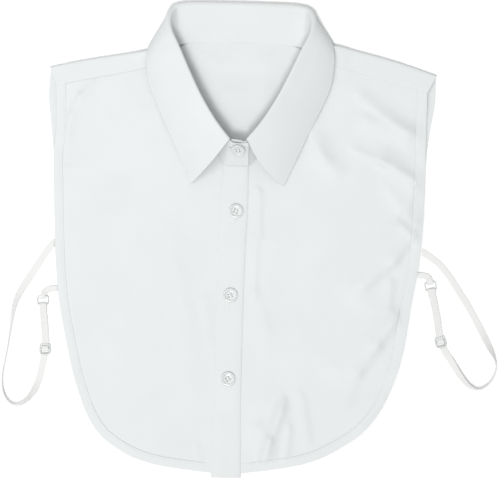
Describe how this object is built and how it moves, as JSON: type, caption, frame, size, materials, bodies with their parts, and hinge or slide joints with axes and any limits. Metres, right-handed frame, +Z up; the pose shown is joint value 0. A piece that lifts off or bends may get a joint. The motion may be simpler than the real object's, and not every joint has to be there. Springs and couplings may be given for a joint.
{
  "type": "detachable shirt collar",
  "caption": "White cotton half shirt with a classic point collar, a buttoned placket and adjustable elastic arm loops, laid flat, worn under a jumper.",
  "frame": {"origin": "on the surface that the garment lies on, below the middle of its body at half of its length", "axes": "+Z up from the surface out of the buttoned front, +Y towards the collar, +X towards the wearer's left side"},
  "size_m": [0.4351, 0.4184, 0.0283],
  "materials": {
    "cotton": "plain poplin weave, ironed",
    "elastic": "ribbed woven elastic",
    "buttons": "pearly polished resin",
    "hardware": "clear moulded plastic"
  },
  "bodies": {
    "root": {"back_panel": "cotton", "front_right": "cotton", "front_left": "cotton", "placket_top": "cotton", "placket_under": "cotton", "collar_stand": "cotton", "collar_leaf": "cotton", "button_1": "buttons", "button_2": "buttons", "button_3": "buttons", "button_4": "buttons", "strap_right": "elastic", "strap_left": "elastic", "tab_right": "elastic", "tab_left": "elastic", "ring_right": "hardware", "ring_left": "hardware", "slider_right": "hardware", "slider_left": "hardware"}
  },
  "joints": []
}
